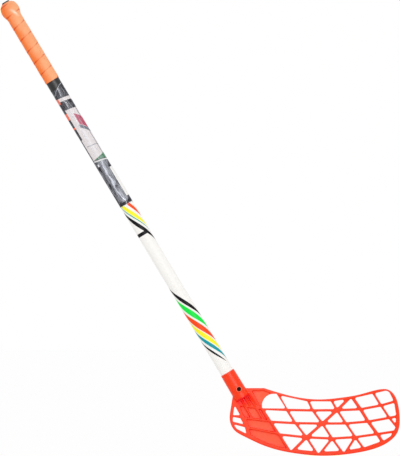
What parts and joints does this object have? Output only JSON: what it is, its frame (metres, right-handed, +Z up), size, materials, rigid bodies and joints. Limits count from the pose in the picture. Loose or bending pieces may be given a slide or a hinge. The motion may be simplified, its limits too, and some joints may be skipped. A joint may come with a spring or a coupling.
{
  "type": "floorball stick",
  "caption": "Junior floorball stick: tube shaft with knob, wound grip tape and filmed card, and a hooked openwork blade whose neck socket is screwed to the shaft.",
  "frame": {"origin": "on the shaft's axis in the middle of the wound grip, where a hand holds the stick", "axes": "+Z up with the blade's sole at the bottom, +X from the shaft towards the blade's toe, and -Y the way that the toe hooks"},
  "size_m": [0.6461, 0.041, 0.7384],
  "materials": {
    "shaft_white": "lacquered fibre composite, white with printed slanting stripes",
    "cap_black": "moulded dark plastic",
    "grip_orange": "soft, slightly tacky grip tape",
    "tape_black": "smooth vinyl tape",
    "card_print": "printed card in plain colour bands",
    "film_clear": "clear wrinkled shrink film",
    "label_white": "blank paper sticker",
    "blade_red": "injection-moulded red-orange plastic",
    "screw_black": "blackened steel"
  },
  "bodies": {
    "stick": {"shaft_tube": "shaft_white", "end_cap": "cap_black", "grip_tape": "grip_orange", "finish_tape": "tape_black", "display_card": "card_print", "clear_film": "film_clear", "blank_label": "label_white", "blade": "blade_red"},
    "screw": {"blade_screw": "screw_black"}
  },
  "joints": [
    {"name": "screw_withdrawal", "type": "slide", "parent": "stick", "child": "screw", "axis": [0.1592, -0.9826, 0.0955], "range_m": [0, 0.012]}
  ]
}
